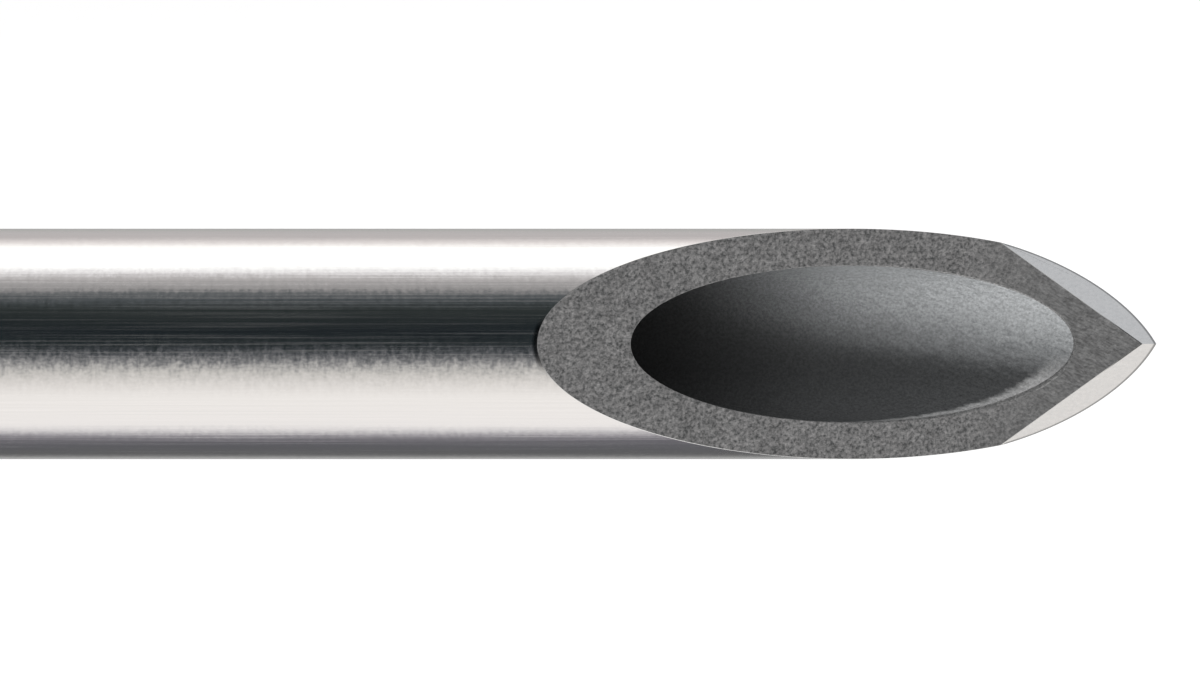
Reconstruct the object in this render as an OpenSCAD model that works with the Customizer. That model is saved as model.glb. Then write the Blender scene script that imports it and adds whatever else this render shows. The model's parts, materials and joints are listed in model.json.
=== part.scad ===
/* [Tube] */
// Outer diameter of the steel tube
tube_d = 1.27; // [1.2:0.01:1.3]
// Bore of the steel tube
lumen_d = 0.86; // [0.8:0.01:0.94]
// Length of tube in front of the hub
tube_reach = 90; // [40:1:150]
// Length of the groove that keys the tube into its glue
anchor_len = 0.7; // [0.6:0.05:1]
// Depth of that groove in the tube's wall
anchor_depth = 0.08; // [0.04:0.01:0.1]

/* [Point] */
// Angle between the main bevel and the axis
bevel_angle = 20; // [16:0.1:28]
// Angle between each side grind and the axis
lancet_angle = 30.1; // [28:0.1:40]
// Turn of each side grind about the axis, from the main bevel
lancet_roll = 19.4; // [16:0.1:28]
// Distance by which the side grinds shorten the point
point_setback = 0.057; // [0.03:0.001:0.1]
// Angle by which wear from blasting turns the bore's opening towards the point
opening_wear = 0.8; // [0.2:0.1:1.2]

/* [Stylet] */
// Gap all round between the stylet wire and the bore
stylet_gap = 0.03; // [0.015:0.005:0.05]
// Distance by which the stylet is drawn back from its seat
draw_back = 12; // [8:0.5:40]
// Height of the hook at the tail of the wire
hook_h = 1.6; // [1.4:0.1:1.9]
// Radius of the bend that turns the wire into its hook
hook_bend_r = 0.8; // [0.6:0.1:1.2]

/* [Hub barrel] */
// Outer diameter of the barrel round the cone socket
barrel_d = 6.6; // [6.2:0.1:6.7]
// Length of the barrel
barrel_len = 9.4; // [8.5:0.1:12]
// Diameter of the cone socket at its mouth
socket_d = 4.3; // [4.2:0.01:4.4]
// Depth of the cone socket
socket_depth = 8; // [7.5:0.5:9]
// Lead-in chamfer at the mouth of the socket
mouth_chamfer = 0.25; // [0.1:0.05:0.4]
// Span across the two lock lugs
lug_span = 7.8; // [7.6:0.05:7.9]
// Width of each lock lug
lug_w = 3.2; // [2.8:0.1:3.6]
// Length of each lock lug along the axis
lug_len = 2; // [1.6:0.1:2.4]

/* [Hub body] */
// Diameter of the collar between barrel and grip
collar_d = 7.4; // [7:0.1:7.7]
// Thickness of the collar
collar_t = 1.2; // [0.8:0.1:2]
// Length of the hub's grip
hub_grip_len = 10; // [8:0.5:14]
// Length of the tapered nose
nose_len = 5.4; // [4:0.1:8]
// Diameter of the nose where it leaves the grip
nose_root_d = 6; // [5:0.1:6.2]
// Diameter of the nose at its front end
nose_tip_d = 3.4; // [3:0.1:4]
// Thickness of the four fins on the nose
fin_t = 0.9; // [0.6:0.1:1.4]
// Height of the fins above the nose, where they meet the grip
fin_h = 0.7; // [0.4:0.1:0.8]
// Diameter of the flow chamber
chamber_d = 3; // [2.4:0.1:3.4]
// Length of the flow chamber
chamber_len = 6; // [4:0.5:8]
// Length of the funnel that leads into the tube
funnel_len = 2.6; // [2:0.1:3]
// Diameter of the glue well in the nose
well_d = 2.4; // [2:0.1:2.6]
// Depth of the glue well in the nose
well_depth = 3.5; // [2.5:0.1:4]

/* [Grips] */
// Width of both grips, side to side
grip_w = 9.8; // [8.8:0.1:11]
// Height of both grips, top to bottom
grip_h = 7.8; // [7.7:0.1:9]
// Radius of the long edges of both grips
grip_edge_r = 1.7; // [0.8:0.1:2]
// Chamfer at both ends of each grip
grip_chamfer = 0.45; // [0.2:0.05:0.6]
// Depth of the finger hollow in each side
hollow_depth = 1.2; // [0.6:0.1:1.5]
// Height of the ribs in the finger hollows
rib_h = 0.35; // [0.2:0.05:0.5]
// Thickness of each rib
rib_t = 0.6; // [0.4:0.1:0.8]
// Spacing of the ribs
rib_pitch = 1.4; // [1.2:0.1:1.8]
// Number of ribs in each hollow
rib_count = 5; // [3:1:5]

/* [Handle] */
// Length of the handle's grip
handle_grip_len = 10.5; // [9:0.5:14]
// Diameter of the flange that stops on the hub
flange_d = 7.6; // [7.2:0.1:7.7]
// Thickness of the flange
flange_t = 1.2; // [0.8:0.1:2]
// Length of the plug that enters the cone socket
plug_len = 5.5; // [4:0.1:6.5]
// Gap all round between the plug and the cone socket
plug_gap = 0.04; // [0.02:0.01:0.08]
// Diameter of the glue cup in the back of the handle
cup_d = 4.6; // [4:0.1:5.2]
// Depth of the glue cup
cup_depth = 5; // [4:0.5:7]
// Depth of glue in the cup
cup_fill = 3; // [2.6:0.1:3.6]
// Chamfer at the mouth of the cup
cup_chamfer = 0.3; // [0.1:0.05:0.4]

/* [Key] */
// Width of the key on the handle
key_w = 1.6; // [1.2:0.1:2]
// Length of the key in front of the flange
key_len = 1.8; // [1.2:0.1:2.4]
// Height of the key above the barrel
key_proud = 0.5; // [0.3:0.05:0.6]
// Depth of the key's notch in the barrel wall
notch_depth = 0.6; // [0.4:0.05:0.8]
// Running gap round the key and in front of the flange
key_gap = 0.08; // [0.05:0.01:0.12]

/* [Hidden] */
$fn = 96;

// Change of the cone socket's diameter for each unit of length
luer_taper = 0.06;
// Overrun of every cut past the face that it opens
over = 0.5;
// Gap all round between the tube and its seat in the hub
seat_gap = 0.01;
// Gap all round between the wire and its hole in the handle
wire_gap = 0.01;
// Depth by which the parts of one moulding run into each other
sink = 0.5;
// Distance from the front of the hub back to the tube's groove
anchor_inset = 0.1;
// Share of the grip's length that the finger hollow spans
hollow_span_share = 0.86;
// Size of the blocks that cut the ground faces
grind_block = 4 * tube_d / sin(bevel_angle);

// Places along the axis, from the mouth of the hub's socket
socket_end_x = socket_depth;
chamber_end_x = socket_end_x + chamber_len;
tube_back_x = chamber_end_x + funnel_len;
collar_x = barrel_len;
hub_grip_x = collar_x + collar_t;
nose_x = hub_grip_x + hub_grip_len;
hub_front_x = nose_x + nose_len;
tip_x = hub_front_x + tube_reach;
flange_x = -key_gap;
handle_grip_x = flange_x - flange_t - handle_grip_len;
cup_floor_x = handle_grip_x + cup_depth;

stylet_d = lumen_d - 2 * stylet_gap;
socket_end_d = socket_d - luer_taper * socket_depth;
funnel_end_d = lumen_d;
notch_floor_z = barrel_d / 2 - notch_depth;
hook_x = cup_floor_x - cup_fill / 2;

// A round bar along the axis, from the origin towards the point
module bar(d, length) {
    rotate([0, 90, 0]) cylinder(d = d, h = length);
}

// A cone along the axis, from the origin towards the point
module cone(back_d, front_d, length) {
    rotate([0, 90, 0]) cylinder(d1 = back_d, d2 = front_d, h = length);
}

// A block that is centred across the axis and starts at the origin
module block(length, w, h) {
    translate([0, -w / 2, -h / 2]) cube([length, w, h]);
}

// All that lies outside a ground face through the origin
module grind(angle, roll) {
    rotate([roll, 0, 0]) rotate([0, angle, 0])
        translate([-grind_block / 2, -grind_block / 2, 0]) cube(grind_block);
}

// The three ground faces of the point, as they are cut through the tube and the wire together
module point_cut() {
    lowest = -tube_d / 2;
    translate([tip_x + point_setback, 0, lowest]) grind(bevel_angle, 0);
    for (side = [-1, 1])
        translate([tip_x, 0, lowest]) grind(lancet_angle, side * lancet_roll);
}

// The blasted opening of the bore, which is a little longer than a straight bore would make it
module worn_opening() {
    half_len = lumen_d / 2 / tan(bevel_angle) + over;
    middle_x = tip_x + point_setback - tube_d / 2 / tan(bevel_angle);
    translate([middle_x, 0, 0]) rotate([0, opening_wear, 0]) translate([-half_len, 0, 0])
        bar(lumen_d, 2 * half_len);
}

// The outline of a grip across the axis, with round long edges
module grip_outline(h, w, r) {
    square([h - 2 * r, w], center = true);
    square([h, w - 2 * r], center = true);
    for (a = [-1, 1], b = [-1, 1])
        translate([a * (h / 2 - r), b * (w / 2 - r)]) circle(r = r);
}

// A cylinder across the axis that hollows one side of a grip to the stated depth
module finger_hollow(length, depth) {
    span = length * hollow_span_share;
    r = (span * span / 4 + hollow_depth * hollow_depth) / (2 * hollow_depth);
    translate([length / 2, grip_w / 2 - depth + r, -grip_h])
        cylinder(r = r, h = 2 * grip_h);
}

// The ribs of one side, up to their tops in the finger hollow
module finger_ribs(length) {
    first_x = (length - (rib_count - 1) * rib_pitch - rib_t) / 2;
    difference() {
        for (i = [0 : rib_count - 1])
            translate([first_x + i * rib_pitch, 0, -grip_h]) cube([rib_t, grip_w, 2 * grip_h]);
        finger_hollow(length, hollow_depth - rib_h);
    }
}

// What lies past the slope at the back end of a grip, at the side that the turn picks
module end_chamfer(turn, half_span) {
    rotate([turn, 0, 0]) translate([0, 0, half_span - grip_chamfer])
        rotate([0, -45, 0]) translate([-grip_h, -grip_w, 0]) cube([2 * grip_h, 2 * grip_w, grip_h]);
}

// A grip with a ribbed hollow for a finger in each side
module ribbed_grip(length) {
    difference() {
        rotate([0, 90, 0]) linear_extrude(length) grip_outline(grip_h, grip_w, grip_edge_r);
        for (side = [0, 1]) mirror([0, side, 0]) difference() {
            finger_hollow(length, hollow_depth);
            finger_ribs(length);
        }
        for (end = [0, 1]) translate([end * length, 0, 0]) mirror([end, 0, 0]) {
            for (turn = [0, 180]) end_chamfer(turn, grip_h / 2);
            for (turn = [90, 270]) end_chamfer(turn, grip_w / 2);
        }
    }
}

// The four fins that stiffen the nose
module nose_fins() {
    for (turn = [0 : 3])
        rotate([90 * turn, 0, 0]) translate([0, fin_t / 2, 0]) rotate([90, 0, 0])
            linear_extrude(fin_t)
                polygon([
                    [nose_x - sink, chamber_d / 2],
                    [nose_x - sink, nose_root_d / 2 + fin_h],
                    [nose_x, nose_root_d / 2 + fin_h],
                    [hub_front_x - nose_tip_d / 2, nose_tip_d / 2],
                    [hub_front_x - nose_tip_d / 2, chamber_d / 2]
                ]);
}

// The two lugs that a locking syringe tip catches
module lock_lugs() {
    intersection() {
        bar(lug_span, lug_len);
        block(lug_len, lug_span, lug_w);
    }
}

// The outside of the hub
module hub_outside() {
    bar(barrel_d, collar_x + collar_t);
    lock_lugs();
    translate([collar_x, 0, 0]) bar(collar_d, collar_t);
    translate([hub_grip_x, 0, 0]) ribbed_grip(hub_grip_len);
    translate([nose_x, 0, 0]) cone(nose_root_d, nose_tip_d, nose_len);
    nose_fins();
}

// The way through the hub: cone socket, flow chamber, funnel, tube seat and glue well
module hub_inside() {
    translate([-over, 0, 0])
        cone(socket_d + luer_taper * over, socket_end_d, socket_depth + over);
    translate([-over, 0, 0])
        cone(socket_d + 2 * (mouth_chamfer + over), socket_d, mouth_chamfer + over);
    translate([socket_end_x, 0, 0]) bar(chamber_d, chamber_len);
    translate([chamber_end_x, 0, 0]) cone(chamber_d, funnel_end_d, funnel_len);
    translate([tube_back_x, 0, 0])
        bar(tube_d + 2 * seat_gap, hub_front_x - tube_back_x + over);
    translate([hub_front_x - well_depth, 0, 0]) bar(well_d, well_depth + over);
}

// The notch that takes the key and shows which way the bevel faces
module key_notch() {
    translate([-over, -key_w / 2 - key_gap, notch_floor_z])
        cube([over + key_len + key_gap, key_w + 2 * key_gap, barrel_d]);
}

// The outside of the tube, with its groove, before the point is ground
module tube_outside() {
    groove_x = hub_front_x - anchor_inset - anchor_len;
    waist_d = tube_d - 2 * anchor_depth;
    translate([tube_back_x, 0, 0]) bar(tube_d, groove_x - tube_back_x);
    translate([groove_x, 0, 0]) cone(tube_d, waist_d, anchor_len / 2);
    translate([groove_x + anchor_len / 2, 0, 0]) cone(waist_d, tube_d, anchor_len / 2);
    translate([groove_x + anchor_len, 0, 0]) bar(tube_d, tip_x - groove_x - anchor_len);
}

module cannula() {
    color("silver") difference() {
        tube_outside();
        translate([tube_back_x - over, 0, 0]) bar(lumen_d, tip_x - tube_back_x + 2 * over);
        worn_opening();
        point_cut();
    }
}

module cannula_bond() {
    color("wheat") difference() {
        translate([hub_front_x - well_depth, 0, 0]) bar(well_d, well_depth);
        tube_outside();
    }
}

module hub() {
    color("aliceblue", 0.5) difference() {
        hub_outside();
        hub_inside();
        key_notch();
    }
}

// The wire in its seat, from the hook in the cup to the ground end
module seated_wire() {
    bend_x = hook_x + hook_bend_r;
    difference() {
        translate([bend_x, 0, 0]) bar(stylet_d, tip_x - bend_x);
        point_cut();
    }
    translate([bend_x, 0, hook_bend_r]) rotate([90, 0, 0]) rotate([0, 0, 180])
        rotate_extrude(angle = 90) translate([hook_bend_r, 0]) circle(d = stylet_d);
    translate([hook_x, 0, hook_bend_r]) cylinder(d = stylet_d, h = hook_h - hook_bend_r);
}

module stylet_wire() {
    color("gainsboro") translate([-draw_back, 0, 0]) seated_wire();
}

module stylet_handle() {
    plug_d = socket_d - 2 * plug_gap;
    color("hotpink") translate([-draw_back, 0, 0]) difference() {
        union() {
            translate([flange_x - flange_t, 0, 0]) bar(flange_d, flange_t);
            translate([flange_x, 0, 0])
                cone(plug_d, plug_d - luer_taper * (plug_len - flange_x), plug_len - flange_x);
            translate([handle_grip_x, 0, 0]) ribbed_grip(handle_grip_len);
            translate([flange_x - flange_t, -key_w / 2, notch_floor_z + key_gap])
                cube([flange_t + key_len, key_w, notch_depth - key_gap + key_proud]);
        }
        translate([handle_grip_x - over, 0, 0]) bar(cup_d, cup_depth + over);
        translate([handle_grip_x - over, 0, 0])
            cone(cup_d + 2 * (cup_chamfer + over), cup_d, cup_chamfer + over);
        translate([handle_grip_x, 0, 0])
            bar(stylet_d + 2 * wire_gap, plug_len - handle_grip_x + over);
    }
}

module stylet_bond() {
    color("wheat") translate([-draw_back, 0, 0]) difference() {
        translate([cup_floor_x - cup_fill, 0, 0]) bar(cup_d, cup_fill);
        seated_wire();
    }
}

cannula();
cannula_bond();
hub();
stylet_wire();
stylet_handle();
stylet_bond();
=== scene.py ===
import json
import math

import bmesh
import bpy
from mathutils import Matrix, Vector


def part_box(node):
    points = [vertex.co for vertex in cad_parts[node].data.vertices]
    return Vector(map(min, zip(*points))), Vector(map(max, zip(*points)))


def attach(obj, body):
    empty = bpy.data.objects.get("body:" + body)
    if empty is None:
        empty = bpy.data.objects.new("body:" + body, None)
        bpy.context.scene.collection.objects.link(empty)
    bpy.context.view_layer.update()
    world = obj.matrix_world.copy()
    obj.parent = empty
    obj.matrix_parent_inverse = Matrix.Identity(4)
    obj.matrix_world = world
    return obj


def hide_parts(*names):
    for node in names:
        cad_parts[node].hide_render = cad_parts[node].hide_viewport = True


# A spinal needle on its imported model, seen at the point as in the photograph

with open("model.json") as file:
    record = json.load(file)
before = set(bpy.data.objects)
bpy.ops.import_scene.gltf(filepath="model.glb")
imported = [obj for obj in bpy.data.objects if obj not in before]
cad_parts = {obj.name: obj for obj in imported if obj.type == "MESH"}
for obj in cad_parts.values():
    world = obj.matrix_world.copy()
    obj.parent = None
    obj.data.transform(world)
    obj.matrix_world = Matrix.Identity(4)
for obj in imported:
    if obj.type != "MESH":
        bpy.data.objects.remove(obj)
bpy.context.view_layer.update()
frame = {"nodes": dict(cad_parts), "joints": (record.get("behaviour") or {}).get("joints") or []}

# Pieces are modelled in millimetres, since the point's details are a few thousandths of one,
# and each is brought to metres when it is done.
MM = 1000


# Sizes in millimetres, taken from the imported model

def box_mm(node):
    low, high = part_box(node)
    return low * MM, high * MM


tube_low, tube_high = box_mm("cannula")
hub_low, hub_high = box_mm("hub")
well_low, well_high = box_mm("cannula_bond")
cup_low, cup_high = box_mm("stylet_bond")
wire_low, wire_high = box_mm("stylet_wire")
TIP_X = tube_high.x
TUBE_BACK_X = tube_low.x
TUBE_R = tube_high.z
WIRE_R = -wire_low.z
NOSE_X = hub_high.x
FLOOR_Z = hub_low.z
DRAW_BACK = -frame["joints"][0]["range_m"][0] * MM

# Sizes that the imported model's boxes don't give, in millimetres and degrees

LUMEN_R = 0.43
BEVEL_ANGLE = 20
LANCET_ANGLE = 30.1
LANCET_ROLL = 19.4
POINT_SETBACK = 0.057
OPENING_WEAR = 0.8
GROOVE_INSET = 0.1
GROOVE_LEN = 0.7
GROOVE_DEPTH = 0.08
HOOK_BEND_R = 0.8

# Where moulded edges are rounded less: on the handle by its flange's back, behind the hub's mouth
# when pushed home, and by its key's foot, and on the hub over its fins, behind the nose's front

FLANGE_BACK = 1.28
FLANGE_SEAM = 0.1
KEY_FOOT_Z = 3.3
FINS_BACK = 5.5
FINS_FRONT = 1
FINE_SHARE = 0.3

# The photograph's frame, in its own pixels

PHOTO_W, PHOTO_H = 1200, 682
TUBE_SPAN_PX = 230.5
TIP_PX = 1156.5
AXIS_PY = 343.9
PIXEL = 2 * TUBE_R / TUBE_SPAN_PX


# Helpers for modelling

def only(piece):
    bpy.ops.object.select_all(action="DESELECT")
    piece.select_set(True)
    bpy.context.view_layer.objects.active = piece


def apply_place(piece):
    only(piece)
    bpy.ops.object.transform_apply(location=True, rotation=True, scale=True)


def apply_modifier(piece, kind, **settings):
    modifier = piece.modifiers.new(kind.lower(), kind)
    for key, value in settings.items():
        setattr(modifier, key, value)
    only(piece)
    bpy.ops.object.modifier_apply(modifier=modifier.name)


def add_bar(name, radius, back_x, front_x, sides):
    """A round bar along the needle's axis."""
    bpy.ops.mesh.primitive_cylinder_add(
        vertices=sides,
        radius=radius,
        depth=front_x - back_x,
        location=((back_x + front_x) / 2, 0, 0),
        rotation=(0, math.pi / 2, 0),
    )
    piece = bpy.context.object
    piece.name = piece.data.name = name
    apply_place(piece)
    return piece


def cut_with(piece, cutter):
    apply_modifier(piece, "BOOLEAN", object=cutter, operation="DIFFERENCE", solver="EXACT")
    bpy.data.objects.remove(cutter)


def edit(piece, mode="EDGE"):
    only(piece)
    bpy.ops.object.mode_set(mode="EDIT")
    bpy.ops.mesh.select_mode(type=mode)
    bpy.ops.mesh.select_all(action="DESELECT")


def done():
    bpy.ops.object.mode_set(mode="OBJECT")


def select_faces(piece, wanted):
    shape = bmesh.from_edit_mesh(piece.data)
    shape.normal_update()
    for face in shape.faces:
        if wanted(face):
            face.select_set(True)
    bmesh.update_edit_mesh(piece.data)


def looks_back(face):
    return face.normal.x < -0.99


def round_edges(piece, width_of, segments, slot=-1):
    """Rounds each edge by the width that width_of(edge) gives it, in the material of that slot."""
    shape = bmesh.new()
    shape.from_mesh(piece.data)
    shape.normal_update()
    widths = [width_of(edge) for edge in shape.edges]
    shape.free()
    weights = piece.data.attributes.new("bevel_weight_edge", "FLOAT", "EDGE")
    weights.data.foreach_set("value", [width / max(widths) for width in widths])
    apply_modifier(
        piece,
        "BEVEL",
        width=max(widths),
        segments=segments,
        limit_method="WEIGHT",
        material=slot,
        use_clamp_overlap=False,
    )
    piece.data.attributes.remove(piece.data.attributes["bevel_weight_edge"])


def add_lathe(name, profile, sides):
    """A closed ring round the needle's axis, drawn out through the profile's (x, radius) pairs."""
    x, radius = profile[0]
    bpy.ops.mesh.primitive_circle_add(
        vertices=sides, radius=radius, location=(x, 0, 0), rotation=(0, math.pi / 2, 0)
    )
    piece = bpy.context.object
    piece.name = piece.data.name = name
    apply_place(piece)
    edit(piece)
    bpy.ops.mesh.select_all(action="SELECT")
    for next_x, next_radius in profile[1:] + profile[:1]:
        bpy.ops.mesh.extrude_region_move(TRANSFORM_OT_translate={"value": (next_x - x, 0, 0)})
        share = next_radius / radius
        bpy.ops.transform.resize(value=(1, share, share), center_override=(next_x, 0, 0))
        x, radius = next_x, next_radius
    bpy.ops.mesh.select_all(action="SELECT")
    bpy.ops.mesh.remove_doubles(threshold=1e-5)
    bpy.ops.mesh.normals_make_consistent(inside=False)
    done()
    return piece


def finish_piece(piece, body, replaced, smooth=30):
    """Brings a piece to metres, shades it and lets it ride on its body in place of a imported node."""
    piece.scale = (1 / MM,) * 3
    apply_place(piece)
    bpy.ops.object.shade_smooth_by_angle(angle=math.radians(smooth))
    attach(piece, body)
    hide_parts(replaced)


# The ground point

def plane_normal(angle, roll):
    """The outward normal of a face ground at that angle to the axis, and turned about it."""
    a, r = math.radians(angle), math.radians(roll)
    return Vector((math.sin(a), -math.cos(a) * math.sin(r), math.cos(a) * math.cos(r)))


BEVEL_NORMAL = plane_normal(BEVEL_ANGLE, 0)
LANCET_NORMALS = [plane_normal(LANCET_ANGLE, side * LANCET_ROLL) for side in (-1, 1)]
GROUND_FACES = [(BEVEL_NORMAL, POINT_SETBACK)] + [(n, 0) for n in LANCET_NORMALS]
BEVEL_SLOPE = math.tan(math.radians(BEVEL_ANGLE))
OPENING_X = TIP_X + POINT_SETBACK - TUBE_R / BEVEL_SLOPE
BACK_X = OPENING_X - LUMEN_R / BEVEL_SLOPE
TOE_X = OPENING_X + LUMEN_R / BEVEL_SLOPE


def grind_point(piece, tip_x):
    """Cuts the three ground faces, each through the lowest line of the tube."""
    size = 16 * TUBE_R
    for normal, past_tip in GROUND_FACES:
        bpy.ops.mesh.primitive_cube_add(size=size)
        block = bpy.context.object
        turn = normal.to_track_quat("Z", "Y").to_matrix().to_4x4()
        on_plane = Vector((tip_x + past_tip, 0, -TUBE_R))
        block.matrix_world = Matrix.Translation(on_plane + normal * size / 2) @ turn
        apply_place(block)
        cut_with(piece, block)


def looks_along(face, normal):
    """Whether a face looks the way of that normal, to within about 2 degrees."""
    return face.normal.dot(normal) > 0.9995


def zone(face):
    """The name of the surface that a face of the point belongs to."""
    if looks_along(face, BEVEL_NORMAL):
        return "bevel"
    if any(looks_along(face, normal) for normal in LANCET_NORMALS):
        return "lancet"
    centre = face.calc_center_median()
    outward = Vector((0, centre.y, centre.z)).normalized().dot(face.normal)
    if outward < -0.9:
        return "lumen"
    if outward > 0.9:
        return "shaft"
    return "rim"


def zones(edge):
    return {zone(face) for face in edge.link_faces}


def share_of(value, low, high):
    """How far a value has gone from low to high, from 0 to 1."""
    return min(max((value - low) / (high - low), 0), 1)


def rim_width(edge):
    """Blasting has rounded the opening's rim, most of all on one side towards the point."""
    if zones(edge) != {"bevel", "lumen"}:
        return 0
    middle = (edge.verts[0].co + edge.verts[1].co) / 2
    return 0.005 + 0.012 * share_of(middle.x, OPENING_X, TOE_X) * share_of(middle.y, -0.05, -0.2)


def outer_width(edge):
    """The ground faces have keen edges, and the keenest are those that cut."""
    widths = {"bevel shaft": 0.0015, "bevel lancet": 0.003, "lancet shaft": 0.0015}
    return widths.get(" ".join(sorted(zones(edge))), 0)


def make_cannula():
    groove_front = NOSE_X - GROOVE_INSET
    tube = add_bar("steel_cannula", TUBE_R, TUBE_BACK_X, TIP_X + TUBE_R, 192)
    edit(tube)
    for x in (groove_front - GROOVE_LEN, groove_front, groove_front - GROOVE_LEN / 2):
        bpy.ops.mesh.select_all(action="SELECT")
        bpy.ops.mesh.bisect(plane_co=(x, 0, 0), plane_no=(1, 0, 0), threshold=1e-6)
    waist = 1 - GROOVE_DEPTH / TUBE_R
    bpy.ops.transform.resize(value=(1, waist, waist), center_override=(x, 0, 0))
    done()
    cut_with(tube, add_bar("lumen", LUMEN_R, TUBE_BACK_X - 1, TIP_X + 1, 128))
    reach = LUMEN_R / BEVEL_SLOPE + 0.5
    worn = add_bar("opening", LUMEN_R, -reach, reach, 128)
    worn.location.x = OPENING_X
    worn.rotation_euler.y = math.radians(OPENING_WEAR)
    apply_place(worn)
    cut_with(tube, worn)
    grind_point(tube, TIP_X)
    edit(tube)
    bpy.ops.mesh.select_all(action="SELECT")
    bpy.ops.mesh.remove_doubles(threshold=0.003)
    done()
    paint_cannula(tube)
    slots = [material.name for material in tube.data.materials]
    round_edges(tube, rim_width, 3, slots.index("rim_steel"))
    round_edges(tube, outer_width, 2, slots.index("tube_steel"))
    return tube


def make_wire():
    """The stylet's wire, ground with the tube's point, with its tail bent up into a hook."""
    tip_x = TIP_X - DRAW_BACK
    bend_x = wire_low.x + WIRE_R + HOOK_BEND_R
    wire = add_bar("stylet_steel", WIRE_R, bend_x, tip_x + TUBE_R, 96)
    grind_point(wire, tip_x)
    edit(wire, "FACE")
    select_faces(wire, looks_back)
    bpy.ops.mesh.spin(
        steps=24, angle=-math.pi / 2, center=(bend_x, 0, HOOK_BEND_R), axis=(0, 1, 0)
    )
    bpy.ops.mesh.extrude_region_move(
        TRANSFORM_OT_translate={"value": (0, 0, wire_high.z - HOOK_BEND_R)}
    )
    bpy.ops.mesh.select_all(action="SELECT")
    bpy.ops.mesh.remove_doubles(threshold=1e-4)
    done()
    round_edges(wire, lambda edge: 0.006 * (edge.calc_face_angle(0) > math.radians(8.5)), 2)
    return wire


def make_nose_glue():
    """The glue in the nose's well, which climbs a little up the tube."""
    inner, outer = TUBE_R - 0.005, well_high.z - 0.005
    front = well_high.x
    return add_lathe(
        "nose_glue",
        [
            (well_low.x, inner),
            (well_low.x, outer),
            (front - 0.08, outer),
            (front - 0.2, outer - 0.12),
            (front - 0.24, outer - 0.28),
            (front - 0.16, inner + 0.14),
            (front + 0.02, inner + 0.04),
            (front + 0.24, inner + 0.008),
        ],
        96,
    )


def make_cup_glue():
    """The glue in the handle's cup, dished where it wets the wall."""
    radius = cup_high.y - 0.005
    glue = add_bar("cup_glue", radius, cup_low.x - 0.3, cup_high.x, 96)
    edit(glue, "FACE")
    select_faces(glue, looks_back)
    for inset, sink in ((0.12, 0.14), (0.2, 0.1), (0.4, 0.05), (0.6, 0.01)):
        bpy.ops.mesh.inset(thickness=inset)
        bpy.ops.transform.translate(value=(sink, 0, 0))
    done()
    return glue


def soften(node, name, width, share_at):
    """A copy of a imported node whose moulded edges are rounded, and less where its shape is fine."""
    mesh = frame["nodes"][node].data.copy()
    piece = bpy.data.objects.new(name, mesh)
    bpy.context.collection.objects.link(piece)
    mesh.materials.clear()
    piece.scale = (MM,) * 3
    apply_place(piece)
    if mesh.has_custom_normals:
        bpy.ops.mesh.customdata_custom_splitnormals_clear()
    edit(piece)
    bpy.ops.mesh.select_all(action="SELECT")
    bpy.ops.mesh.remove_doubles(threshold=1e-4)
    bpy.ops.mesh.dissolve_limited(angle_limit=math.radians(0.3))
    done()

    def width_of(edge):
        if edge.calc_face_angle(0) < math.radians(50):
            return 0
        return width * share_at((edge.verts[0].co + edge.verts[1].co) / 2)

    round_edges(piece, width_of, 2)
    edit(piece)
    bpy.ops.mesh.select_all(action="SELECT")
    bpy.ops.mesh.dissolve_degenerate(threshold=1e-4)
    done()
    return piece


def handle_share(place):
    """The key and the flange meet in slivers, and the flange's back lies in the grip's end."""
    ahead = place.x + DRAW_BACK + FLANGE_BACK
    if place.z < KEY_FOOT_Z or ahead < -FLANGE_SEAM:
        return 1
    return 0 if ahead < FLANGE_SEAM else FINE_SHARE


def hub_share(place):
    """The fins run out to nothing on the nose."""
    return FINE_SHARE if NOSE_X - FINS_BACK < place.x < NOSE_X - FINS_FRONT else 1


def paint_cannula(tube):
    """Gives each of the point's surfaces its own steel."""
    steels = {
        "shaft": drawn_steel("tube_steel"),
        "bevel": ground_steel(),
        "lumen": blasted_steel_painted_light_and_shade(),
        "lancet": lapped_steel(),
        "rim": rim_steel(),
    }
    slots = {name: i for i, name in enumerate(steels)}
    for steel in steels.values():
        tube.data.materials.append(steel)
    shape = bmesh.new()
    shape.from_mesh(tube.data)
    for face in shape.faces:
        face.material_index = slots[zone(face)]
    shape.to_mesh(tube.data)
    shape.free()


def paint_wire(wire):
    """Gives the wire's end, which is ground together with the tube, the steel of the tube's bevel."""
    wire.data.materials.append(drawn_steel("wire_steel"))
    wire.data.materials.append(bpy.data.materials["ground_steel"])
    for face in wire.data.polygons:
        face.material_index = int(looks_along(face, BEVEL_NORMAL))


# Materials

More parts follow.
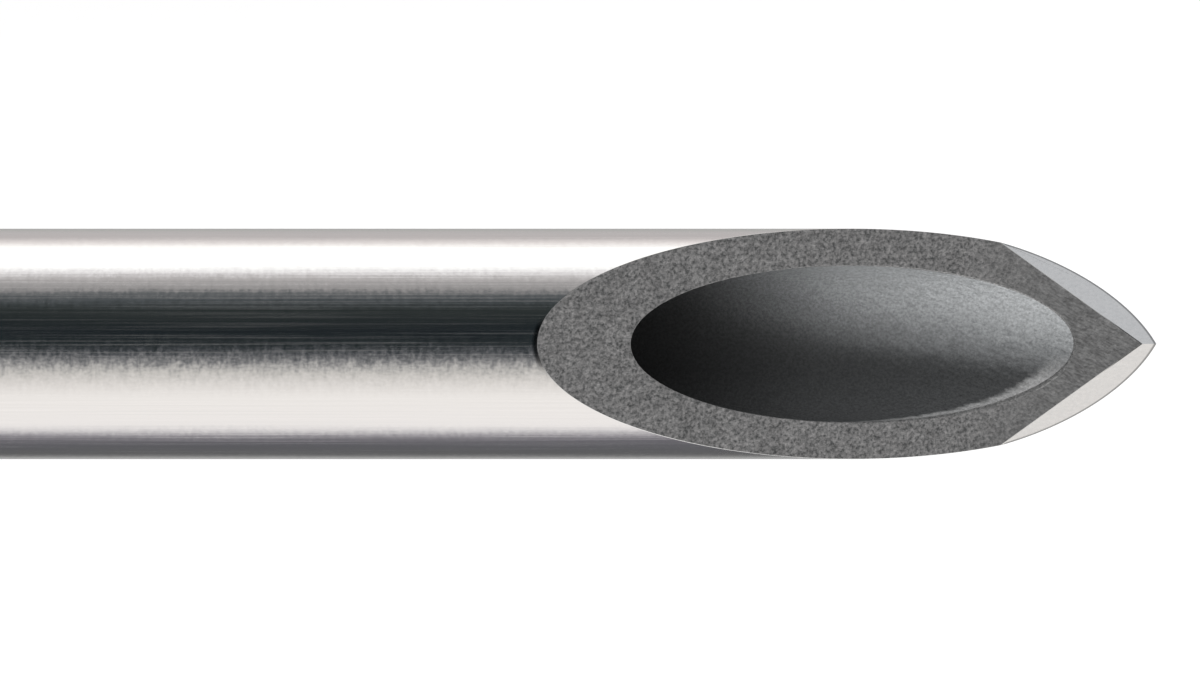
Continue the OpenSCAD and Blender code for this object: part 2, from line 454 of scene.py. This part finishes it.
class Nodes:
    """A node tree that is built step by step."""

    def __init__(self, tree):
        self.tree = tree

    def add(self, kind, values=None, **settings):
        node = self.tree.nodes.new("ShaderNode" + kind)
        for key, value in settings.items():
            setattr(node, key, value)
        for key, value in (values or {}).items():
            self.put(node.inputs[key], value)
        return node

    def put(self, socket, value):
        if isinstance(value, bpy.types.NodeSocket):
            self.tree.links.new(value, socket)
        else:
            socket.default_value = value

    def math(self, operation, a, b=0.0, clamp=False):
        node = self.add("Math", {0: a, 1: b}, operation=operation, use_clamp=clamp)
        return node.outputs[0]

    def coordinates(self):
        return self.add("TexCoord").outputs["Object"]

    def noise(self, vector, scale, detail=2.0, roughness=0.5):
        values = {"Vector": vector, "Scale": scale, "Detail": detail, "Roughness": roughness}
        return self.add("TexNoise", values).outputs[0]

    def stretch(self, vector, scale):
        return self.add("Mapping", {"Vector": vector, "Scale": scale}).outputs[0]

    def turn(self, vector, degrees):
        """The coordinates turned about the upright axis."""
        values = {"Vector": vector, "Angle": math.radians(degrees)}
        return self.add("VectorRotate", values, rotation_type="Z_AXIS").outputs[0]

    def ramp(self, value, stops):
        node = self.add("ValToRGB", {0: value})
        elements = node.color_ramp.elements
        while len(elements) < len(stops):
            elements.new(0.5)
        for element, (place, colour) in zip(elements, stops):
            element.position = place
            element.color = (*colour, 1) if isinstance(colour, tuple) else (colour,) * 3 + (1,)
        return node.outputs[0]

    def range(self, value, low, high, to_low, to_high):
        node = self.add("MapRange", {0: value, 1: low, 2: high, 3: to_low, 4: to_high})
        return node.outputs[0]

    def below_bevel(self, place):
        """How far a place lies below the plane of the bevel, in metres."""
        along = self.add("VectorMath", {0: place, 1: BEVEL_NORMAL}, operation="DOT_PRODUCT")
        level = BEVEL_NORMAL.dot(Vector((OPENING_X, 0, 0))) / MM
        return self.math("SUBTRACT", level, along.outputs["Value"])

    def bump(self, height, distance, strength=1.0, normal=None):
        values = {"Height": height, "Distance": distance, "Strength": strength}
        if normal:
            values["Normal"] = normal
        return self.add("Bump", values).outputs[0]


class Recipe(Nodes):
    """A node material."""

    def __init__(self, name):
        self.material = bpy.data.materials.new(name)
        self.material.use_nodes = True
        super().__init__(self.material.node_tree)
        self.shader = self.tree.nodes["Principled BSDF"]

    def set(self, **values):
        for key, value in values.items():
            self.put(self.shader.inputs[key.replace("_", " ")], value)


# How deep the marks of polishing are, by the angle from overhead towards +Y
MARKS = [(-60, 0.25), (-30, 0.25), (-14, 0.9), (2, 0.9), (15, 0.4), (45, 0.3), (60, 0.2)]


def drawn_steel(name):
    """Tube or wire drawn through a die: fine lines along it, crossed by the short marks of polishing."""
    steel = Recipe(name)
    place = steel.coordinates()
    xyz = steel.add("SeparateXYZ", {0: place})
    around = steel.math("ARCTAN2", xyz.outputs["Y"], xyz.outputs["Z"])
    unrolled = steel.add("CombineXYZ", {"X": xyz.outputs["X"], "Y": around}).outputs[0]
    lines = steel.noise(steel.stretch(unrolled, (500, 60, 1)), 1, 3, 0.6)
    marks = steel.noise(steel.stretch(unrolled, (30000, 9, 1)), 1, 2, 0.6)
    grain = steel.noise(steel.stretch(unrolled, (40000, 40, 1)), 1, 1)
    depth = steel.ramp(
        steel.range(around, -math.pi, math.pi, 0, 1),
        [((degrees + 180) / 360, value) for degrees, value in MARKS],
    )
    sway = steel.math("MULTIPLY", steel.math("SUBTRACT", marks, 0.5), 0.2)
    shake = steel.math("MULTIPLY", steel.math("SUBTRACT", grain, 0.5), 0.12)
    ridge = steel.math("MULTIPLY", steel.math("SUBTRACT", lines, 0.5), 0.08)
    lean = steel.math("MULTIPLY", steel.math("ADD", sway, shake), depth)
    lean = steel.math("ADD", lean, ridge)
    tangent = steel.add(
        "CombineXYZ",
        {"Y": xyz.outputs["Z"], "Z": steel.math("MULTIPLY", xyz.outputs["Y"], -1)},
    ).outputs[0]
    tangent = steel.add("VectorMath", {0: tangent}, operation="NORMALIZE").outputs[0]
    leaning = steel.add("VectorMath", {0: tangent, "Scale": lean}, operation="SCALE").outputs[0]
    normal = steel.add("NewGeometry").outputs["Normal"]
    normal = steel.add("VectorMath", {0: normal, 1: leaning}, operation="ADD").outputs[0]
    normal = steel.add("VectorMath", {0: normal}, operation="NORMALIZE").outputs[0]
    colour = steel.ramp(lines, [(0.3, (0.82, 0.82, 0.81)), (0.7, (0.86, 0.855, 0.845))])
    if name == "tube_steel":
        # Painted shade: a thin band of the shaft at the heel, along the bevel's edge, is painted nearly
        # black.
        painted_heel_shade = steel.range(steel.below_bevel(place), 5e-6, 1.1e-5, 0.85, 0)
        aside = steel.math("ABSOLUTE", xyz.outputs["Y"])
        painted_heel_shade = steel.math("MULTIPLY", painted_heel_shade, steel.range(aside, 9e-5, 1.6e-4, 1, 0))
        colour = steel.add("MixRGB", {0: painted_heel_shade, 1: colour, 2: (0.06, 0.06, 0.06, 1)}).outputs[0]
    steel.set(
        Base_Color=colour,
        Metallic=1.0,
        Roughness=steel.range(lines, 0.4, 0.65, 0.06, 0.24),
        Normal=normal,
    )
    return steel.material


def ground_steel():
    """The bevel: grit-ground, with a speckled grain that is finer and streaked towards the point."""
    steel = Recipe("ground_steel")
    place = steel.coordinates()
    x = steel.add("SeparateXYZ", {0: place}).outputs["X"]
    grain = steel.noise(place, 52000, 2, 0.65)
    streaks = steel.noise(steel.stretch(steel.turn(place, 25), (16000, 80000, 80000)), 1, 2)
    clouds = steel.noise(place, 14000, 3)
    toewards = steel.range(x, (TOE_X - 0.6) / MM, TOE_X / MM, 0, 1)
    speckle = steel.add(
        "MixRGB",
        {
            0: toewards,
            1: steel.ramp(grain, [(0.3, (0.14, 0.145, 0.145)), (0.7, (0.54, 0.53, 0.53))]),
            2: steel.ramp(streaks, [(0.3, (0.22, 0.22, 0.22)), (0.7, (0.42, 0.42, 0.42))]),
        },
    ).outputs[0]
    shade = steel.ramp(clouds, [(0.35, 0.8), (0.65, 1.0)])
    steel.set(
        Base_Color=steel.add("MixRGB", {0: 1.0, 1: speckle, 2: shade}, blend_type="MULTIPLY").outputs[0],
        Metallic=1.0,
        Roughness=0.45,
        Normal=steel.bump(grain, 2.5e-6),
    )
    return steel.material


def blasted_steel_painted_light_and_shade():
    """The bore by its opening: matt blasted steel, whose colour holds painted light and shade, lighter
    towards the opening and on the +Y wall and dark farther in and on the -Y wall, with a painted
    highlight under the rim on the -Y side towards the point.
    """
    steel = Recipe("blasted_steel_painted_light_and_shade")
    place = steel.coordinates()
    xyz = steel.add("SeparateXYZ", {0: place})
    y = xyz.outputs["Y"]
    grain = steel.noise(place, 65000, 2, 0.7)
    ripples = steel.noise(steel.stretch(steel.turn(place, 25), (14000, 32000, 32000)), 1, 2)
    # Painted light and shade: lit is the wall's colour, lighter towards the opening and on the +Y side;
    # unlit is its darkest, a little lighter low on the -Y side.
    forward = steel.range(xyz.outputs["X"], BACK_X / MM, TOE_X / MM, 0, 1)
    slant = steel.math("MINIMUM", steel.math("MULTIPLY", y, 1.9 * MM), steel.math("MULTIPLY", y, 3 * MM))
    waver = steel.math("SUBTRACT", ripples, 0.5)
    waver = steel.math("MULTIPLY", waver, steel.range(forward, 0.4, 0.85, 0.1, 0.4))
    slant = steel.math("ADD", slant, waver)
    lit = steel.ramp(
        steel.range(steel.math("ADD", forward, slant), 0, 1.3, 0, 1),
        [(0.15, 0.05), (0.31, 0.11), (0.49, 0.24), (0.62, 0.315), (0.8, 0.465), (1.0, 0.58)],
    )
    lit = steel.math("MULTIPLY", lit, steel.range(forward, 0.1, 0.45, 0.35, 1))
    unlit = steel.math(
        "ADD",
        steel.range(forward, 0, 0.4, 0.015, 0.085),
        steel.range(y, -0.15 / MM, -0.4 / MM, 0, 0.06),
    )
    wall = steel.add("Math", {0: lit, 1: unlit, 2: 0.12}, operation="SMOOTH_MAX").outputs[0]
    wall = steel.add(
        "MixRGB", {0: 1.0, 1: wall, 2: (0.98, 1.01, 1.03, 1)}, blend_type="MULTIPLY"
    ).outputs[0]
    # Painted highlight: a light grey strip on the bore just under the rim, on the -Y side towards the
    # point.
    depth = steel.math("ADD", steel.below_bevel(place), steel.math("MULTIPLY", ripples, 4e-5))
    painted_rim_highlight = steel.range(depth, 4.5e-5, 7e-5, 1, 0)
    painted_rim_highlight = steel.math("MULTIPLY", painted_rim_highlight, steel.range(forward, 0.4, 0.65, 0, 1))
    painted_rim_highlight = steel.math("MULTIPLY", painted_rim_highlight, steel.range(y, -5e-5, -2e-4, 0, 1))
    wall = steel.add("MixRGB", {0: painted_rim_highlight, 1: wall, 2: (0.6, 0.6, 0.6, 1)}).outputs[0]
    shade = steel.ramp(grain, [(0.35, 0.72), (0.65, 1.08)])
    height = steel.math("MULTIPLY", ripples, steel.range(forward, 0.45, 0.8, 0.1, 1))
    steel.set(
        Base_Color=steel.add("MixRGB", {0: 1.0, 1: wall, 2: shade}, blend_type="MULTIPLY").outputs[0],
        Metallic=0.5,
        Roughness=0.65,
        Normal=steel.bump(grain, 3e-6, normal=steel.bump(height, 1.4e-5)),
    )
    return steel.material


def rim_steel():
    """The rim of the bore's opening: ground like the bevel, with a painted highlight on one side towards
    the point.
    """
    steel = Recipe("rim_steel")
    place = steel.coordinates()
    xyz = steel.add("SeparateXYZ", {0: place})
    grain = steel.noise(place, 60000, 2, 0.7)
    # Painted highlight: the rounded rim is painted lighter on its -Y side towards the point.
    painted_rim_highlight = steel.range(xyz.outputs["X"], OPENING_X / MM, TOE_X / MM, 0, 1)
    painted_rim_highlight = steel.math("MULTIPLY", painted_rim_highlight, steel.range(xyz.outputs["Y"], -5e-5, -2e-4, 0, 1))
    colour = steel.add(
        "MixRGB",
        {
            0: painted_rim_highlight,
            1: steel.ramp(grain, [(0.3, (0.15, 0.15, 0.15)), (0.7, (0.5, 0.5, 0.5))]),
            2: steel.ramp(grain, [(0.3, (0.3, 0.3, 0.3)), (0.7, (0.65, 0.65, 0.64))]),
        },
    ).outputs[0]
    steel.set(
        Base_Color=colour,
        Metallic=1.0,
        Roughness=0.5,
        Normal=steel.bump(grain, 3e-6),
    )
    return steel.material


def lapped_steel():
    """The two side grinds, which are finer than the bevel, with painted shade along their outer edges.
    """
    steel = Recipe("lapped_steel")
    place = steel.coordinates()
    grain = steel.noise(steel.stretch(place, (9000, 60000, 60000)), 1, 2)
    across = steel.add("VectorMath", {0: place, 1: (0, 1, 1)}, operation="MULTIPLY").outputs[0]
    radius = steel.add("VectorMath", {0: across}, operation="LENGTH").outputs["Value"]
    # Painted shade: a dark grey line along the outer edges of the side grinds.
    painted_edge_shade = steel.range(radius, (TUBE_R - 0.011) / MM, (TUBE_R - 0.006) / MM, 0, 1)
    face = steel.ramp(grain, [(0.3, (0.78, 0.78, 0.78)), (0.7, (0.84, 0.835, 0.83))])
    steel.set(
        Base_Color=steel.add("MixRGB", {0: painted_edge_shade, 1: face, 2: (0.35, 0.35, 0.35, 1)}).outputs[0],
        Metallic=1.0,
        Roughness=0.18,
        Normal=steel.bump(grain, 1e-6),
    )
    return steel.material


def clear_plastic():
    """The hub's clear polycarbonate, faintly blue, with the soft waviness of a moulding."""
    plastic = Recipe("clear_plastic")
    place = plastic.coordinates()
    waves = plastic.noise(place, 600, 2)
    plastic.set(
        Base_Color=plastic.ramp(waves, [(0.3, (0.93, 0.965, 0.98)), (0.7, (0.95, 0.975, 0.985))]),
        Roughness=plastic.range(waves, 0.3, 0.7, 0.02, 0.06),
        Transmission_Weight=1.0,
        IOR=1.58,
        Normal=plastic.bump(waves, 4e-6),
    )
    return plastic.material


def pink_plastic():
    """The handle's moulded plastic: a satin spark-eroded texture over pink."""
    plastic = Recipe("pink_plastic")
    place = plastic.coordinates()
    texture = plastic.noise(place, 7000, 3, 0.6)
    clouds = plastic.noise(place, 300, 2)
    plastic.set(
        Base_Color=plastic.ramp(clouds, [(0.3, (0.78, 0.12, 0.3)), (0.7, (0.84, 0.16, 0.35))]),
        Roughness=plastic.range(texture, 0.3, 0.7, 0.3, 0.42),
        Subsurface_Weight=0.15,
        Subsurface_Radius=(0.0016, 0.0006, 0.0008),
        Subsurface_Scale=1.0,
        Normal=plastic.bump(texture, 6e-6),
    )
    return plastic.material


def cured_glue(name):
    """Clear adhesive, faintly yellow, with a soft haze."""
    glue = Recipe(name)
    place = glue.coordinates()
    haze = glue.noise(place, 1500, 2)
    glue.set(
        Base_Color=glue.ramp(haze, [(0.3, (0.95, 0.9, 0.7)), (0.7, (0.97, 0.94, 0.78))]),
        Roughness=glue.range(haze, 0.3, 0.7, 0.05, 0.15),
        Transmission_Weight=0.15,
        IOR=1.5,
        Normal=glue.bump(haze, 6e-6),
    )
    return glue.material


# Studio

def add_camera():
    """Straight above the point and far off, with its tip where the photograph has it."""
    data = bpy.data.cameras.new("camera")
    data.lens = 500
    data.sensor_width = 36
    distance = PHOTO_W * PIXEL * data.lens / data.sensor_width
    data.clip_start = distance / MM / 100
    data.clip_end = 100
    camera = bpy.data.objects.new("camera", data)
    camera.location = Vector((
        TIP_X - (TIP_PX - PHOTO_W / 2) * PIXEL * (1 + TUBE_R / distance),
        (AXIS_PY - PHOTO_H / 2) * PIXEL,
        distance,
    )) / MM
    bpy.context.collection.objects.link(camera)
    bpy.context.scene.camera = camera


# What the polished tube mirrors straight up from its sides, by the angle from overhead towards +Y
TENT = [
    (-180, (0.35, 0.35, 0.35)),
    (-164, (0.32, 0.32, 0.32)),
    (-152, (0.15, 0.15, 0.15)),
    (-145, (0.1, 0.1, 0.103)),
    (-125, (0.1, 0.1, 0.11)),
    (-116, (0.13, 0.125, 0.14)),
    (-107, (0.24, 0.23, 0.25)),
    (-99, (0.6, 0.58, 0.59)),
    (-91, (0.79, 0.76, 0.75)),
    (-56, (0.79, 0.76, 0.74)),
    (-43, (0.68, 0.65, 0.63)),
    (-31, (0.52, 0.5, 0.48)),
    (-25, (0.39, 0.38, 0.37)),
    (-18, (0.19, 0.19, 0.195)),
    (-12, (0.09, 0.093, 0.1)),
    (-6, (0.04, 0.045, 0.05)),
    (0, (0.02, 0.025, 0.027)),
    (12, (0.011, 0.015, 0.018)),
    (36, (0.024, 0.029, 0.029)),
    (46, (0.068, 0.076, 0.082)),
    (53, (0.12, 0.125, 0.13)),
    (57, (0.27, 0.26, 0.26)),
    (63, (0.32, 0.31, 0.31)),
    (70, (0.42, 0.4, 0.4)),
    (77, (0.7, 0.68, 0.69)),
    (85, (1.05, 1.05, 1.04)),
    (114, (1.05, 1.04, 1.02)),
    (122, (0.75, 0.7, 0.69)),
    (134, (0.45, 0.42, 0.42)),
    (150, (0.43, 0.41, 0.41)),
    (166, (0.35, 0.35, 0.34)),
]

# What rougher steel gathers from farther along the needle, by the same angle
ASIDE = [
    (-180, (0.3, 0.3, 0.3)),
    (-115, (0.3, 0.3, 0.3)),
    (-95, (1.2, 1.19, 1.18)),
    (-45, (1.0, 1.0, 1.0)),
    (0, (0.3, 0.3, 0.3)),
    (35, (0.12, 0.12, 0.12)),
    (60, (0.08, 0.08, 0.08)),
    (100, (0.3, 0.3, 0.3)),
]
TENT_LIGHT = 1.25


def add_world():
    world = bpy.data.worlds.new("tent")
    world.use_nodes = True
    world.cycles.sampling_method = "NONE"
    bpy.context.scene.world = world
    tent = Nodes(world.node_tree)
    background = tent.tree.nodes["Background"]
    path = tent.add("LightPath")
    way = tent.add("TexCoord").outputs["Generated"]
    xyz = tent.add("SeparateXYZ", {0: way})
    turn = tent.math("ARCTAN2", xyz.outputs["Y"], xyz.outputs["Z"])
    place = tent.range(turn, -math.pi, math.pi, 0, 1)
    straight, aside = (
        tent.ramp(place, [((degrees + 180) / 360, colour) for degrees, colour in stops])
        for stops in (TENT, ASIDE)
    )
    along = tent.math("ABSOLUTE", xyz.outputs["X"])
    sides = tent.add(
        "MixRGB", {0: tent.range(along, 0.15, 0.3, 0, 1), 1: straight, 2: aside}
    ).outputs[0]
    ends = tent.ramp(
        tent.range(xyz.outputs["Y"], -0.3, 0.3, 0, 1),
        [(0.3, (0.66, 0.64, 0.62)), (0.7, (0.5, 0.51, 0.525))],
    )
    endwards = tent.range(along, 0.72, 0.8, 0, 1)
    mirrored = tent.add("MixRGB", {0: endwards, 1: sides, 2: ends}).outputs[0]
    mirrored = tent.add("VectorMath", {0: mirrored, "Scale": TENT_LIGHT}, operation="SCALE").outputs[0]
    even = tent.add("MixRGB", {0: path.outputs["Is Camera Ray"], 1: (0.8, 0.8, 0.8, 1), 2: (1, 1, 1, 1)})
    seen = tent.add("MixRGB", {0: path.outputs["Is Glossy Ray"], 1: even.outputs[0], 2: mirrored})
    tent.put(background.inputs["Color"], seen.outputs[0])


def add_floor():
    bpy.ops.mesh.primitive_plane_add(size=60, location=(0, 0, FLOOR_Z / MM))
    floor = bpy.context.object
    floor.name = "floor"
    floor.visible_glossy = False
    paper = Recipe("white_floor")
    path = paper.add("LightPath")
    seen = paper.math("MAXIMUM", path.outputs["Is Camera Ray"], path.outputs["Is Transmission Ray"])
    paper.set(
        Base_Color=(0.82, 0.82, 0.82, 1),
        Roughness=0.9,
        Specular_IOR_Level=0.0,
        Emission_Color=(1, 1, 1, 1),
        Emission_Strength=paper.math("MULTIPLY", seen, 0.32),
    )
    floor.data.materials.append(paper.material)


def add_key_light():
    data = bpy.data.lights.new("soft_box", "AREA")
    data.shape = "RECTANGLE"
    data.size = 0.7
    data.size_y = 0.4
    data.energy = 1.6
    light = bpy.data.objects.new("soft_box", data)
    target = Vector((0.04, 0, 0))
    light.location = (-0.15, -0.45, 0.6)
    light.rotation_euler = (target - light.location).to_track_quat("-Z", "Y").to_euler()
    light.visible_camera = False
    light.visible_glossy = False
    bpy.context.collection.objects.link(light)


add_camera()
add_world()
add_floor()
add_key_light()
bpy.context.scene.view_settings.view_transform = "Standard"

cannula = make_cannula()
finish_piece(cannula, "needle", "cannula", 4)

wire = make_wire()
paint_wire(wire)
finish_piece(wire, "stylet", "stylet_wire", 4)

nose_glue = make_nose_glue()
nose_glue.data.materials.append(cured_glue("nose_glue"))
finish_piece(nose_glue, "needle", "cannula_bond", 60)

cup_glue = make_cup_glue()
cup_glue.data.materials.append(cured_glue("cup_glue"))
finish_piece(cup_glue, "stylet", "stylet_bond", 60)

hub = soften("hub", "clear_hub", 0.06, hub_share)
hub.data.materials.append(clear_plastic())
finish_piece(hub, "needle", "hub")

handle = soften("stylet_handle", "pink_handle", 0.07, handle_share)
handle.data.materials.append(pink_plastic())
finish_piece(handle, "stylet", "stylet_handle")
